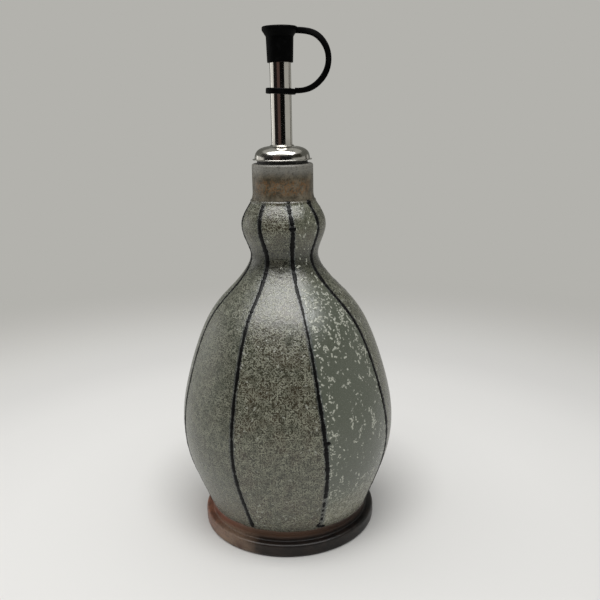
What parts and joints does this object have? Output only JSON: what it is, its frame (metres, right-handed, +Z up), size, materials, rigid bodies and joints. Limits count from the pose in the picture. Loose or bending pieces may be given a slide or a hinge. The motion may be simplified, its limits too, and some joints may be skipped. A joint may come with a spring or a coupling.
{
  "type": "stoneware oil bottle with capped pourer",
  "caption": "Round-bellied glazed stoneware bottle with a bulbed neck and a steel pourer, whose rubber dust cap hangs on a strap and ring.",
  "frame": {"origin": "centre of the foot, on the surface the bottle stands on", "axes": "+Z up the bottle's axis, +X towards the side where the cap's strap lies"},
  "size_m": [0.0978, 0.0978, 0.2238],
  "materials": {
    "glazed_stoneware": "semi-gloss speckled grey-green glaze over brown clay",
    "stopper_rubber": "satin black",
    "polished_steel": "polished stainless steel",
    "cap_rubber": "matte black"
  },
  "bodies": {
    "bottle": {"bottle": "glazed_stoneware"},
    "stopper": {"stopper": "stopper_rubber"},
    "spout": {"collar": "polished_steel", "spout_tube": "polished_steel", "vent_tube": "polished_steel"},
    "tether_ring": {"tether_ring": "cap_rubber", "cap_tether": "cap_rubber"},
    "dust_cap": {"dust_cap": "cap_rubber"}
  },
  "joints": [
    {"name": "pourer_lift", "type": "slide", "parent": "bottle", "child": "stopper", "axis": [0, 0, 1], "range_m": [0, 0.06]},
    {"name": "spout_turn", "type": "hinge", "parent": "stopper", "child": "spout", "pos_m": [0, 0, 0.1682], "axis": [0, 0, 1], "continuous": true},
    {"name": "ring_turn", "type": "hinge", "parent": "spout", "child": "tether_ring", "pos_m": [0, 0, 0.1989], "axis": [0, 0, 1], "continuous": true},
    {"name": "cap_lift", "type": "slide", "parent": "tether_ring", "child": "dust_cap", "axis": [0, 0, 1], "range_m": [0, 0.016], "deforming": ["cap_tether"]}
  ]
}
